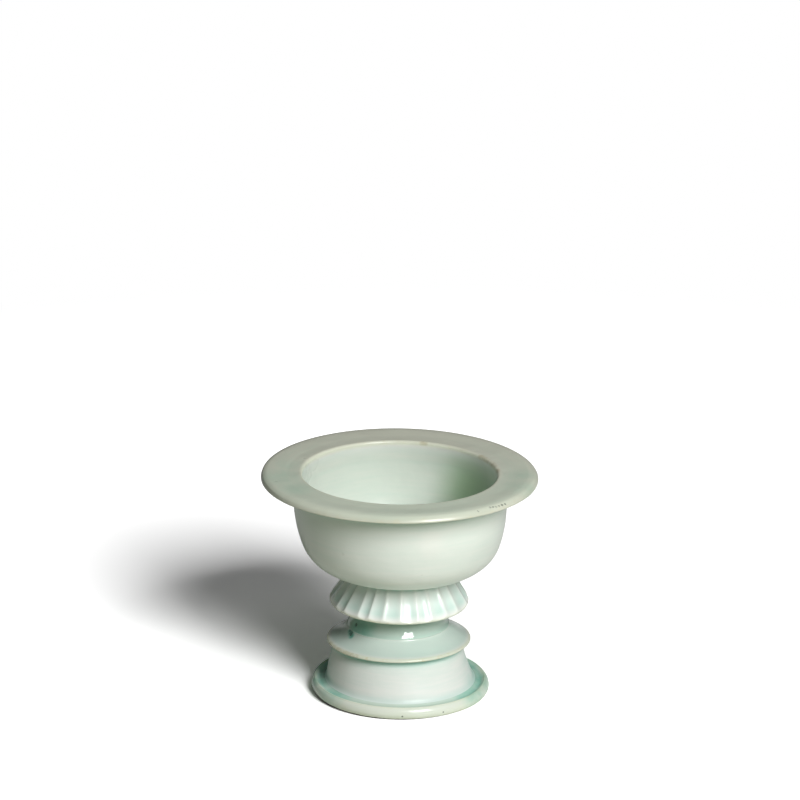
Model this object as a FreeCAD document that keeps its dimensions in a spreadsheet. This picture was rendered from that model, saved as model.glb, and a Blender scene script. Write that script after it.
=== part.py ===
# Footed censer in glazed porcelain: thrown sections luted with slip, one above the other.
# Millimetres, +Z up, origin at the centre of the foot on the table.
import FreeCAD, Part

import math
import os

import Sketcher

doc = FreeCAD.newDocument("footed_censer")

# Driving sizes, each set once
SIZES = (
    ("slip_gap", 0.3, "thickness of the slip in every luted joint"),
    ("foot_radius", 39.6, "largest radius of the foot lip"),
    ("foot_face_curve", 3.2, "curve of the lip's outer face"),
    ("foot_under_turn", 54, "turn of the face from its widest point down to the table, degrees"),
    ("foot_over_turn", 60, "turn of the face from its widest point up to the crest, degrees"),
    ("foot_crest_curve", 0.8, "curve of the lip's crest"),
    ("foot_inner_turn", 150, "where the crest runs into the gutter, degrees"),
    ("foot_gutter_curve", 1.6, "curve between the crest and the floor of the gutter"),
    ("foot_contact_width", 3.0, "width of the unglazed ring that touches the table"),
    ("foot_step", 6.3, "foot lip beyond the drum"),
    ("drum_taper", 4.6, "how much narrower the drum is under the disc tier"),
    ("drum_height", 18.4, "height of the drum section"),
    ("drum_curve", 80, "curve of the concave wall"),
    ("drum_wall", 3.4, "wall of the drum"),
    ("disc_overhang", 3.5, "disc tier beyond the top of the drum"),
    ("disc_height", 8.93, "height of the disc tier"),
    ("disc_under_curve", 0.6, "lower corner of the disc's edge"),
    ("disc_edge_curve", 0.9, "upper corner of the disc's edge"),
    ("disc_edge_turn", 67, "where the upper corner runs into the top, degrees"),
    ("disc_top_curve", 24, "hollow sweep of the disc's top"),
    ("disc_bore_rise", 3.0, "straight part of the bore inside the disc tier"),
    ("neck_radius", 19.5, "outside of the neck"),
    ("neck_wall", 4.1, "wall of the neck"),
    ("neck_height", 24.1, "height of the neck section"),
    ("neck_flare", 2.1, "spread of the neck at its foot"),
    ("neck_flare_curve", 6.0, "curve of the flare"),
    ("neck_step", 0.3, "narrow ledge round the foot of the neck"),
    ("collar_wall", 2.1, "wall of the collar under the bowl"),
    ("collar_flare", 9.0, "spread of the skirt from the bowl down to the lip"),
    ("collar_height", 14.7, "height of the collar"),
    ("collar_lip_curve", 2.2, "curve of the plain lip"),
    ("collar_under_turn", 35, "turn of the lip below its widest point, degrees"),
    ("collar_corner_curve", 0.6, "lower corner of the lip"),
    ("collar_lip_width", 2.4, "width of the lip from below"),
    ("collar_seat_height", 6.0, "height of the bore that is luted to the neck"),
    ("collar_roof_width", 2.6, "shelf between the bore and the hollow of the skirt"),
    ("flute_count", 26, "flutes round the collar"),
    ("flute_depth", 1.2, "depth of a flute just above the lip"),
    ("flute_overlap_share", 1.04, "how far a flute runs past its neighbour, which makes a sharp ridge"),
    ("flute_end_curve", 2.6, "scoop at the foot of each flute"),
    ("bowl_radius", 46.9, "largest radius of the bowl"),
    ("bowl_side_curve", 60, "curve of the bowl's side"),
    ("bowl_side_turn", 18.3, "turn of the side, degrees"),
    ("bowl_belly_curve", 18.5, "curve of the belly"),
    ("bowl_belly_turn", 80, "where the belly runs into the base, degrees"),
    ("bowl_base_curve", 40, "curve of the base"),
    ("bowl_mouth_rise", 7.2, "mouth above the widest point"),
    ("bowl_wall", 3.0, "wall of the bowl"),
    ("rim_overhang", 14.1, "flat rim beyond the widest part of the bowl"),
    ("rim_thickness", 3.0, "thickness of the flat rim"),
    ("rim_cove_curve", 1.6, "cove under the rim"),
    ("rim_upstand", 2.5, "ring below the rim that sits on the bowl"),
    ("rim_mouth_step", 0.94, "inner edge of the rim inside the bowl's mouth"),
    ("rim_inner_curve", 1.3, "rounded inner edge of the rim"),
    ("cut_overrun", 2.0, "how far a cut runs past the clay"),
)

# Places that follow from the driving sizes, worked out in the sheet
PLACES = (
    ("foot_face_centre", "foot_radius - foot_face_curve"),
    ("foot_face_rise", "foot_face_curve * sin(foot_under_turn)"),
    ("foot_contact_radius", "foot_face_centre + foot_face_curve * cos(foot_under_turn)"),
    ("foot_hollow_radius", "foot_contact_radius - foot_contact_width"),
    ("foot_crest_start", "foot_face_centre + foot_face_curve * cos(foot_over_turn)"),
    ("foot_crest_start_z", "foot_face_rise + foot_face_curve * sin(foot_over_turn)"),
    ("foot_crest_centre", "foot_crest_start - foot_crest_curve * cos(foot_over_turn)"),
    ("foot_crest_centre_z", "foot_crest_start_z - foot_crest_curve * sin(foot_over_turn)"),
    ("foot_gutter_start", "foot_crest_centre + foot_crest_curve * cos(foot_inner_turn)"),
    ("foot_gutter_start_z", "foot_crest_centre_z + foot_crest_curve * sin(foot_inner_turn)"),
    ("foot_gutter_radius", "foot_gutter_start + foot_gutter_curve * cos(foot_inner_turn)"),
    ("foot_top", "foot_gutter_start_z + foot_gutter_curve * (sin(foot_inner_turn) - 1)"),
    ("drum_foot_radius", "foot_radius - foot_step"),
    ("drum_top_radius", "drum_foot_radius - drum_taper"),
    ("drum_foot_bore", "drum_foot_radius - drum_wall"),
    ("drum_top_bore", "drum_top_radius - drum_wall"),
    ("drum_base", "foot_top + slip_gap"),
    ("drum_top", "drum_base + drum_height"),
    ("disc_base", "drum_top + slip_gap"),
    ("disc_radius", "drum_top_radius + disc_overhang"),
    ("disc_corner_centre", "disc_radius - disc_under_curve"),
    ("disc_corner_z", "disc_base + disc_under_curve"),
    ("disc_edge_centre", "disc_radius - disc_edge_curve"),
    ("disc_edge_end", "disc_edge_centre + disc_edge_curve * cos(disc_edge_turn)"),
    ("disc_edge_end_z", "disc_corner_z + disc_edge_curve * sin(disc_edge_turn)"),
    ("disc_top", "disc_base + disc_height"),
    ("neck_bore", "neck_radius - neck_wall"),
    ("neck_foot_radius", "neck_radius + neck_flare"),
    ("neck_ledge_radius", "neck_foot_radius + neck_step"),
    ("neck_flare_rise", "sqrt(neck_flare_curve ^ 2 - (neck_flare_curve - neck_flare) ^ 2)"),
    ("neck_base", "disc_top + slip_gap"),
    ("neck_flare_top", "neck_base + neck_flare_rise"),
    ("neck_top", "neck_base + neck_height"),
    ("collar_bore", "neck_radius + slip_gap"),
    ("collar_top_radius", "collar_bore + collar_wall"),
    ("collar_radius", "collar_top_radius + collar_flare"),
    ("collar_base", "neck_top - collar_height"),
    ("collar_seat_base", "neck_top - collar_seat_height"),
    ("collar_roof_radius", "collar_bore + collar_roof_width"),
    ("collar_lip_centre", "collar_radius - collar_lip_curve"),
    ("collar_corner_offset", "collar_lip_curve - collar_corner_curve"),
    ("collar_lip_z",
     "collar_base + collar_corner_curve + collar_corner_offset * sin(collar_under_turn)"),
    ("collar_corner_start", "collar_lip_centre + collar_lip_curve * cos(collar_under_turn)"),
    ("collar_corner_start_z", "collar_lip_z - collar_lip_curve * sin(collar_under_turn)"),
    ("collar_under_radius", "collar_lip_centre + collar_corner_offset * cos(collar_under_turn)"),
    ("collar_hollow_radius", "collar_radius - collar_lip_width"),
    ("skirt_run", "collar_top_radius - collar_lip_centre"),
    ("skirt_rise", "neck_top - collar_lip_z"),
    ("skirt_span", "sqrt(skirt_run ^ 2 + skirt_rise ^ 2)"),
    ("skirt_turn", "atan2(skirt_rise; skirt_run) / 1deg - acos(collar_lip_curve / skirt_span) / 1deg"),
    ("skirt_foot", "collar_lip_centre + collar_lip_curve * cos(skirt_turn)"),
    ("skirt_foot_z", "collar_lip_z + collar_lip_curve * sin(skirt_turn)"),
    ("skirt_apex_z", "skirt_foot_z + skirt_foot / tan(skirt_turn)"),
    ("skirt_round", "skirt_foot / cos(skirt_turn)"),
    ("flute_half_turn", "180 / flute_count * cos(skirt_turn) * flute_overlap_share"),
    ("flute_bite", "flute_depth - skirt_round * (1 - cos(flute_half_turn))"),
    ("flute_axis_lift",
     "flute_depth * (2 * skirt_round - flute_depth) / (2 * flute_bite) - skirt_round"),
    ("flute_axis_foot", "skirt_foot + flute_axis_lift * cos(skirt_turn)"),
    ("flute_axis_foot_z", "skirt_foot_z + flute_axis_lift * sin(skirt_turn)"),
    ("flute_head_z", "neck_top + cut_overrun"),
    ("flute_head_share", "(skirt_apex_z - flute_head_z) / (skirt_apex_z - skirt_foot_z)"),
    ("flute_floor_foot", "skirt_foot - flute_depth * cos(skirt_turn)"),
    ("flute_floor_foot_z", "skirt_foot_z - flute_depth * sin(skirt_turn)"),
    ("flute_floor_head", "flute_floor_foot * flute_head_share"),
    ("flute_floor_head_z", "skirt_apex_z - (skirt_apex_z - flute_floor_foot_z) * flute_head_share"),
    ("flute_run", "flute_floor_foot - flute_floor_head"),
    ("flute_rise", "flute_floor_head_z - flute_floor_foot_z"),
    ("flute_length", "sqrt(flute_run ^ 2 + flute_rise ^ 2)"),
    ("flute_scoop_share", "flute_end_curve / flute_length"),
    ("flute_scoop", "flute_floor_foot - flute_run * flute_scoop_share"),
    ("flute_scoop_z", "flute_floor_foot_z + flute_rise * flute_scoop_share"),
    ("flute_scoop_end", "flute_floor_foot + flute_end_curve * cos(skirt_turn)"),
    ("flute_scoop_end_z", "flute_floor_foot_z + flute_end_curve * sin(skirt_turn)"),
    ("flute_axis_head", "flute_axis_foot * flute_head_share"),
    ("flute_axis_head_z", "skirt_apex_z - (skirt_apex_z - flute_axis_foot_z) * flute_head_share"),
    ("bowl_base", "neck_top + slip_gap"),
    ("bowl_side_centre", "bowl_radius - bowl_side_curve"),
    ("bowl_belly_drop", "(bowl_side_curve - bowl_belly_curve) * sin(bowl_side_turn)"),
    ("bowl_belly_centre",
     "bowl_side_centre + (bowl_side_curve - bowl_belly_curve) * cos(bowl_side_turn)"),
    ("bowl_base_lift", "(bowl_base_curve - bowl_belly_curve) * sin(bowl_belly_turn)"),
    ("bowl_base_centre",
     "bowl_belly_centre - (bowl_base_curve - bowl_belly_curve) * cos(bowl_belly_turn)"),
    ("bowl_base_centre_z", "bowl_base + bowl_base_curve"),
    ("bowl_belly_z", "bowl_base_centre_z - bowl_base_lift"),
    ("bowl_shoulder_z", "bowl_belly_z + bowl_belly_drop"),
    ("bowl_mouth_z", "bowl_shoulder_z + bowl_mouth_rise"),
    ("bowl_mouth_outer", "bowl_side_centre + sqrt(bowl_side_curve ^ 2 - bowl_mouth_rise ^ 2)"),
    ("bowl_side_inner_curve", "bowl_side_curve - bowl_wall"),
    ("bowl_mouth_inner", "bowl_side_centre + sqrt(bowl_side_inner_curve ^ 2 - bowl_mouth_rise ^ 2)"),
    ("bowl_belly_inner_curve", "bowl_belly_curve - bowl_wall"),
    ("bowl_base_inner_curve", "bowl_base_curve - bowl_wall"),
    ("bowl_floor_z", "bowl_base + bowl_wall"),
    ("bowl_side_foot", "bowl_side_centre + bowl_side_curve * cos(bowl_side_turn)"),
    ("bowl_side_foot_z", "bowl_shoulder_z - bowl_side_curve * sin(bowl_side_turn)"),
    ("bowl_belly_foot", "bowl_belly_centre + bowl_belly_curve * cos(bowl_belly_turn)"),
    ("bowl_belly_foot_z", "bowl_belly_z - bowl_belly_curve * sin(bowl_belly_turn)"),
    ("bowl_side_foot_inner", "bowl_side_centre + bowl_side_inner_curve * cos(bowl_side_turn)"),
    ("bowl_side_foot_inner_z", "bowl_shoulder_z - bowl_side_inner_curve * sin(bowl_side_turn)"),
    ("bowl_belly_foot_inner", "bowl_belly_centre + bowl_belly_inner_curve * cos(bowl_belly_turn)"),
    ("bowl_belly_foot_inner_z", "bowl_belly_z - bowl_belly_inner_curve * sin(bowl_belly_turn)"),
    ("rim_radius", "bowl_radius + rim_overhang"),
    ("rim_mouth_radius", "bowl_mouth_inner - rim_mouth_step"),
    ("rim_base", "bowl_mouth_z + slip_gap"),
    ("rim_under", "rim_base + rim_upstand"),
    ("rim_top", "rim_under + rim_thickness"),
    ("rim_nose", "rim_thickness / 2"),
)


def make_sheet():
    """Put the driving sizes in as plain numbers and the places as formulas of them."""
    sheet = doc.addObject("Spreadsheet::Sheet", "Sizes")
    for row, (name, value, note) in enumerate(SIZES, start=1):
        sheet.set("A%d" % row, name)
        sheet.set("B%d" % row, str(value))
        sheet.set("C%d" % row, note)
        sheet.setAlias("B%d" % row, name)
    for row, (name, formula) in enumerate(PLACES, start=1):
        sheet.set("E%d" % row, name)
        sheet.set("F%d" % row, "=" + formula)
        sheet.setAlias("F%d" % row, name)
    doc.recompute()
    return sheet


sheet = make_sheet()


def number(words):
    """Add up a short sum of aliases such as rim_radius - rim_nose."""
    total = 0.0
    sign = 1.0
    for word in words.split():
        if word in ("+", "-"):
            sign = 1.0 if word == "+" else -1.0
        else:
            total += sign * float(sheet.get(word))
    return total


def place(words):
    """A corner's place along one axis, which is zero where it lies on the other axis."""
    return 0.0 if words is None else number(words)


def bound(words):
    """Write the same sum as an expression on the sheet."""
    return " ".join(word if word in ("+", "-") else "Sizes." + word for word in words.split())


def origin_plane(body, role):
    """Find one of the body's own origin features by its role."""
    for feature in body.Origin.OriginFeatures:
        if feature.Role == role:
            return feature
    raise ValueError(role)


class Outline:
    """A closed half section drawn in the XZ plane, point by point, each size bound to the sheet."""

    def __init__(self, body, name):
        self.sketch = body.newObject("Sketcher::SketchObject", name)
        self.sketch.AttachmentSupport = [(origin_plane(body, "XZ_Plane"), "")]
        self.sketch.MapMode = "FlatFace"
        self.corners = []
        self.edges = []

    def start(self, radius, height):
        self.corners.append((radius, height))

    def line(self, radius, height):
        self.edges.append(("line", None))
        self.corners.append((radius, height))

    def bulge(self, radius, height, curve):
        """Run round a convex arc, with the clay on the left of the path."""
        self.edges.append(("bulge", curve))
        self.corners.append((radius, height))

    def cove(self, radius, height, curve):
        """Run round a concave arc, with the clay on the left of the path."""
        self.edges.append(("cove", curve))
        self.corners.append((radius, height))

    def close(self, last_kind="line", last_curve=None):
        """Draw the edges, tie each corner to the sheet and return the sketch."""
        self.edges.append((last_kind, last_curve))
        points = [FreeCAD.Vector(place(radius), place(height), 0) for radius, height in self.corners]
        starts = []
        ends = []
        for index, (kind, curve) in enumerate(self.edges):
            here = points[index]
            there = points[(index + 1) % len(points)]
            if kind == "line":
                self.sketch.addGeometry(Part.LineSegment(here, there), False)
            else:
                self.sketch.addGeometry(self.arc(here, there, number(curve), kind), False)
            starts.append(2 if kind == "cove" else 1)
            ends.append(1 if kind == "cove" else 2)
        for index, (kind, curve) in enumerate(self.edges):
            following = (index + 1) % len(points)
            self.sketch.addConstraint(
                Sketcher.Constraint("Coincident", index, ends[index], following, starts[following]))
            if kind != "line":
                self.tie(Sketcher.Constraint("Radius", index, number(curve)), curve)
            self.pin(index, starts[index], *self.corners[index])
        doc.recompute()
        return self.sketch

    def arc(self, here, there, radius, kind):
        """Arc of the given radius between two corners, its centre on the left for a bulge."""
        chord = there - here
        middle = (here + there) * 0.5
        left = FreeCAD.Vector(-chord.y, chord.x, 0)
        left.normalize()
        reach = math.sqrt(max(radius ** 2 - (chord.Length / 2) ** 2, 0.0))
        side = 1 if kind == "bulge" else -1
        centre = middle + left * (reach * side)
        first, last = (here, there) if kind == "bulge" else (there, here)
        circle = Part.Circle(centre, FreeCAD.Vector(0, 0, 1), radius)
        begin = math.atan2(first.y - centre.y, first.x - centre.x)
        finish = math.atan2(last.y - centre.y, last.x - centre.x)
        return Part.ArcOfCircle(circle, begin, finish)

    def tie(self, constraint, words):
        index = self.sketch.addConstraint(constraint)
        self.sketch.setExpression("Constraints[%d]" % index, bound(words))

    def pin(self, edge, end, radius, height):
        """Hold a corner at its radius and height, or on an axis where it has none."""
        if radius is None:
            self.sketch.addConstraint(Sketcher.Constraint("PointOnObject", edge, end, -2))
        else:
            self.tie(Sketcher.Constraint("DistanceX", -1, 1, edge, end, number(radius)), radius)
        if height is None:
            self.sketch.addConstraint(Sketcher.Constraint("PointOnObject", edge, end, -1))
        else:
            self.tie(Sketcher.Constraint("DistanceY", -1, 1, edge, end, number(height)), height)


def new_body(name):
    body = doc.addObject("PartDesign::Body", name)
    body.Label = name
    body.Placement = FreeCAD.Placement()
    return body


def throw(body, sketch):
    """Turn a half section round the wheel's axis."""
    turned = body.newObject("PartDesign::Revolution", sketch.Name + "_thrown")
    turned.Profile = sketch
    turned.ReferenceAxis = (sketch, ["V_Axis"])
    turned.Angle = 360
    doc.recompute()
    return turned


def make_foot_flange():
    """Base ring: unglazed contact ring, bulging face, crest, gutter and the seat for the drum."""
    body = new_body("foot_flange")
    section = Outline(body, "foot_section")
    section.start("foot_hollow_radius", None)
    section.line("foot_contact_radius", None)
    section.bulge("foot_radius", "foot_face_rise", "foot_face_curve")
    section.bulge("foot_crest_start", "foot_crest_start_z", "foot_face_curve")
    section.bulge("foot_gutter_start", "foot_gutter_start_z", "foot_crest_curve")
    section.cove("foot_gutter_radius", "foot_top", "foot_gutter_curve")
    section.line("drum_foot_bore", "foot_top")
    throw(body, section.close())
    return body


def make_foot_drum():
    """Drum with a concave wall of even thickness, open below and above."""
    body = new_body("foot_drum")
    section = Outline(body, "drum_section")
    section.start("drum_foot_bore", "drum_base")
    section.line("drum_foot_radius", "drum_base")
    section.cove("drum_top_radius", "drum_top", "drum_curve")
    section.line("drum_top_bore", "drum_top")
    throw(body, section.close("bulge", "drum_curve"))
    return body


def make_stem_disc():
    """Sloping tier with a soft edge, whose top sweeps up to the neck in a hollow curve."""
    body = new_body("stem_disc")
    section = Outline(body, "disc_section")
    section.start("drum_top_bore", "disc_base")
    section.line("disc_corner_centre", "disc_base")
    section.bulge("disc_radius", "disc_corner_z", "disc_under_curve")
    section.bulge("disc_edge_end", "disc_edge_end_z", "disc_edge_curve")
    section.cove("neck_ledge_radius", "disc_top", "disc_top_curve")
    section.line("neck_bore", "disc_top")
    section.line("neck_bore", "disc_top - disc_bore_rise")
    throw(body, section.close())
    return body


def make_stem_neck():
    """Thrown tube that flares at its foot, carries the bowl and wears the collar."""
    body = new_body("stem_neck")
    section = Outline(body, "neck_section")
    section.start("neck_bore", "neck_base")
    section.line("neck_foot_radius", "neck_base")
    section.cove("neck_radius", "neck_flare_top", "neck_flare_curve")
    section.line("neck_radius", "neck_top")
    section.line("neck_bore", "neck_top")
    throw(body, section.close())
    return body


def make_fluted_collar():
    """Conical skirt with a plain lip, hollow below, with flutes cut round its slope."""
    body = new_body("fluted_collar")
    section = Outline(body, "collar_section")
    section.start("collar_bore", "collar_seat_base")
    section.line("collar_roof_radius", "collar_seat_base")
    section.line("collar_hollow_radius", "collar_base")
    section.line("collar_under_radius", "collar_base")
    section.bulge("collar_corner_start", "collar_corner_start_z", "collar_corner_curve")
    section.bulge("collar_radius", "collar_lip_z", "collar_lip_curve")
    section.bulge("skirt_foot", "skirt_foot_z", "collar_lip_curve")
    section.line("collar_top_radius", "neck_top")
    section.line("collar_bore", "neck_top")
    skirt = throw(body, section.close())
    plain_volume = skirt.Shape.Volume
    flute = cut_flute(body)
    one_cut = plain_volume - flute.Shape.Volume
    if one_cut <= 0:
        raise ValueError("the flute cuts nothing")
    ring = body.newObject("PartDesign::PolarPattern", "flute_ring")
    ring.Originals = [flute]
    ring.Axis = (origin_plane(body, "Z_Axis"), [""])
    ring.Angle = 360
    ring.setExpression("Occurrences", "Sizes.flute_count")
    body.Tip = ring
    doc.recompute()
    all_cuts = plain_volume - ring.Shape.Volume
    print("flutes: one cut %.2f mm3, all cuts %.2f mm3" % (one_cut, all_cuts))
    return body


def cut_flute(body):
    """One flute: a cone that narrows towards the bowl, with a scoop where it meets the lip."""
    cutter = Outline(body, "flute_section")
    cutter.start("flute_axis_foot", "flute_axis_foot_z")
    cutter.line("flute_axis_head", "flute_axis_head_z")
    cutter.line("flute_floor_head", "flute_floor_head_z")
    cutter.line("flute_scoop", "flute_scoop_z")
    cutter.bulge("flute_scoop_end", "flute_scoop_end_z", "flute_end_curve")
    sketch = cutter.close()
    groove = body.newObject("PartDesign::Groove", "flute")
    groove.Profile = sketch
    groove.ReferenceAxis = (sketch, ["Edge1"])
    groove.Angle = 360
    doc.recompute()
    return groove


def make_bowl():
    """Deep bowl of even wall: side, belly and base arcs, each tangent to the next."""
    body = new_body("bowl")
    section = Outline(body, "bowl_section")
    section.start(None, "bowl_base")
    section.line("bowl_base_centre", "bowl_base")
    section.bulge("bowl_belly_foot", "bowl_belly_foot_z", "bowl_base_curve")
    section.bulge("bowl_side_foot", "bowl_side_foot_z", "bowl_belly_curve")
    section.bulge("bowl_radius", "bowl_shoulder_z", "bowl_side_curve")
    section.bulge("bowl_mouth_outer", "bowl_mouth_z", "bowl_side_curve")
    section.line("bowl_mouth_inner", "bowl_mouth_z")
    section.cove("bowl_side_foot_inner", "bowl_side_foot_inner_z", "bowl_side_inner_curve")
    section.cove("bowl_belly_foot_inner", "bowl_belly_foot_inner_z", "bowl_belly_inner_curve")
    section.cove("bowl_base_centre", "bowl_floor_z", "bowl_base_inner_curve")
    section.line(None, "bowl_floor_z")
    throw(body, section.close())
    return body


def make_rim_flange():
    """Broad flat rim with a half-round edge, on a short ring that sits on the bowl's mouth."""
    body = new_body("rim_flange")
    section = Outline(body, "rim_section")
    section.start("bowl_mouth_inner", "rim_base")
    section.line("bowl_mouth_outer", "rim_base")
    section.line("bowl_mouth_outer", "rim_under - rim_cove_curve")
    section.cove("bowl_mouth_outer + rim_cove_curve", "rim_under", "rim_cove_curve")
    section.line("rim_radius - rim_nose", "rim_under")
    section.bulge("rim_radius", "rim_under + rim_nose", "rim_nose")
    section.bulge("rim_radius - rim_nose", "rim_top", "rim_nose")
    section.line("rim_mouth_radius + rim_inner_curve", "rim_top")
    section.bulge("rim_mouth_radius", "rim_top - rim_inner_curve", "rim_inner_curve")
    throw(body, section.close())
    return body


def make_slip(name, bore, radius, base, height):
    """A ring of slip between two sections, padded from the two circles of its joint."""
    body = new_body(name)
    sketch = body.newObject("Sketcher::SketchObject", name + "_ring")
    sketch.AttachmentSupport = [(origin_plane(body, "XY_Plane"), "")]
    sketch.MapMode = "FlatFace"
    sketch.setExpression("AttachmentOffset.Base.z", bound(base))
    for index, words in enumerate((radius, bore)):
        circle = Part.Circle(FreeCAD.Vector(), FreeCAD.Vector(0, 0, 1), number(words))
        sketch.addGeometry(circle, False)
        sketch.addConstraint(Sketcher.Constraint("Coincident", index, 3, -1, 1))
        tied = sketch.addConstraint(Sketcher.Constraint("Radius", index, number(words)))
        sketch.setExpression("Constraints[%d]" % tied, bound(words))
    pad = body.newObject("PartDesign::Pad", name + "_layer")
    pad.Profile = sketch
    pad.setExpression("Length", bound(height))
    doc.recompute()
    return body


def make_slips():
    return [
        make_slip("foot_slip", "drum_foot_bore", "drum_foot_radius", "foot_top", "slip_gap"),
        make_slip("disc_slip", "drum_top_bore", "drum_top_radius", "drum_top", "slip_gap"),
        make_slip("neck_slip", "neck_bore", "neck_foot_radius", "disc_top", "slip_gap"),
        make_slip("collar_slip", "neck_radius", "collar_bore", "collar_seat_base", "collar_seat_height"),
        make_slip("bowl_slip", "neck_bore", "collar_top_radius", "neck_top", "slip_gap"),
        make_slip("rim_slip", "bowl_mouth_inner", "bowl_mouth_outer", "bowl_mouth_z", "slip_gap"),
    ]


sections = [
    make_foot_flange(),
    make_foot_drum(),
    make_stem_disc(),
    make_stem_neck(),
    make_fluted_collar(),
    make_bowl(),
    make_rim_flange(),
]
pieces = sections + make_slips()
doc.recompute()

for thing in doc.Objects:
    if "Invalid" in thing.State or "Error" in thing.State:
        raise RuntimeError("%s failed: %s" % (thing.Name, thing.State))
for piece in pieces:
    if piece.Shape.isNull() or not piece.Shape.isValid():
        raise RuntimeError("%s has no sound shape" % piece.Label)

os.makedirs("parts", exist_ok=True)
for piece in pieces:
    piece.Shape.exportStep("parts/%s.step" % piece.Label)
    box = piece.Shape.optimalBoundingBox(False, False)
    print("%-14s %9.1f mm3  radius %.2f  z %.2f to %.2f"
          % (piece.Label, piece.Shape.Volume, box.XMax, box.ZMin, box.ZMax))
print("height %.2f mm, rim %.2f mm across" % (number("rim_top"), number("rim_radius + rim_radius")))
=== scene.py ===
# %% [markdown]
# # A footed censer in pale blue-green porcelain
# The censer was thrown on a potter's wheel in seven sections, luted together with slip while
# leather-hard, dipped in a glaze that runs thin over edges and pools in hollows, and fired once.
# The lesson follows that order: load the solids that fix every size, set up the camera and the
# lamp, draw one continuous outline of the glazed skin, turn it round the wheel's axis, cut the
# flutes, and at the end mix a glaze whose colour depends on how thick it lies.

# %% Load the fixed frame
import math
import random

import bpy
import numpy as np
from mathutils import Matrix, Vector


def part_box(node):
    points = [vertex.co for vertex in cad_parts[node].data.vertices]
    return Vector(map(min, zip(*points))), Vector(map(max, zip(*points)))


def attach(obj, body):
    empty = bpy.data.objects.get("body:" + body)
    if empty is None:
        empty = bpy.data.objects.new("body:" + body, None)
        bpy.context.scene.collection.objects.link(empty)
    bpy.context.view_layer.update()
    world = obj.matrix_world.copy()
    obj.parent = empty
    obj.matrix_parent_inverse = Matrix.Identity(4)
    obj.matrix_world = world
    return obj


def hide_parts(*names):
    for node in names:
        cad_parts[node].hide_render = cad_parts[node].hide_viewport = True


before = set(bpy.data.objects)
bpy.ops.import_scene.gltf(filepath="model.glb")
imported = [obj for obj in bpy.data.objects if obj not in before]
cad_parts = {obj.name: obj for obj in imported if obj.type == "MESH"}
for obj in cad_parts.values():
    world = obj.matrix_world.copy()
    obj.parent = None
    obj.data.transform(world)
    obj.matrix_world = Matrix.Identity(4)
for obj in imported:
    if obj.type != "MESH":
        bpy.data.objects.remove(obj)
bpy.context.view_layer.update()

MM = 0.001
TO_MM = 1000.0
print("solids:", ", ".join(sorted(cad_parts)))

# %% [markdown]
# ## Camera
# The photograph was taken with a long lens from about 1.8 m away, looking down at 18 degrees. The
# height of the rim's ellipse against that of the foot gives the tilt and the distance. A 180 mm
# lens on a 36 mm frame keeps the sides of the foot as upright as they look there.

# %% Place the camera
CAMERA_BACK = 1.663
CAMERA_HEIGHT = 0.671
CAMERA_PITCH = 17.87

camera_data = bpy.data.cameras.new("long_lens")
camera_data.lens = 180.0
camera_data.sensor_width = 36.0
camera_data.clip_end = 20.0
camera = bpy.data.objects.new("camera", camera_data)
camera.location = (0.0, -CAMERA_BACK, CAMERA_HEIGHT)
camera.rotation_euler = (math.radians(90.0 - CAMERA_PITCH), 0.0, 0.0)
bpy.context.scene.collection.objects.link(camera)
bpy.context.scene.camera = camera
print("camera", tuple(round(value, 3) for value in camera.location))

# %% [markdown]
# ## Writing shader maths as sums
# Every finish below is worked out from a few numbers on the surface, such as how hollow it is. A
# small class that wraps a socket lets such sums be written as Python expressions, and each
# operator adds one Math node. Any other node comes from one method, add.

# %% A bench for materials
class Value:
    """A number on the surface: a node's output that can be used in a sum."""

    def __init__(self, bench, socket):
        self.bench = bench
        self.socket = socket

    def sum(self, operation, *others):
        node = self.bench.add("ShaderNodeMath", {"operation": operation}, [self, *others])
        return Value(self.bench, node.outputs[0])

    def __add__(self, other):
        return self.sum("ADD", other)

    def __sub__(self, other):
        return self.sum("SUBTRACT", other)

    def __mul__(self, other):
        return self.sum("MULTIPLY", other)

    def __pow__(self, other):
        return self.sum("POWER", other)

    def __rsub__(self, other):
        return (self * -1.0) + other

    def __rpow__(self, other):
        node = self.bench.add("ShaderNodeMath", {"operation": "POWER"}, [other, self])
        return Value(self.bench, node.outputs[0])

    __radd__ = __add__
    __rmul__ = __mul__

    def clamp(self):
        return self.sum("MAXIMUM", 0.0).sum("MINIMUM", 1.0)

    def between(self, low, high):
        """0 below low, 1 above high and a soft step between them."""
        node = self.bench.add("ShaderNodeMapRange", {"interpolation_type": "SMOOTHSTEP"},
                              {"Value": self, "From Min": low, "From Max": high})
        return Value(self.bench, node.outputs["Result"])


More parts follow.
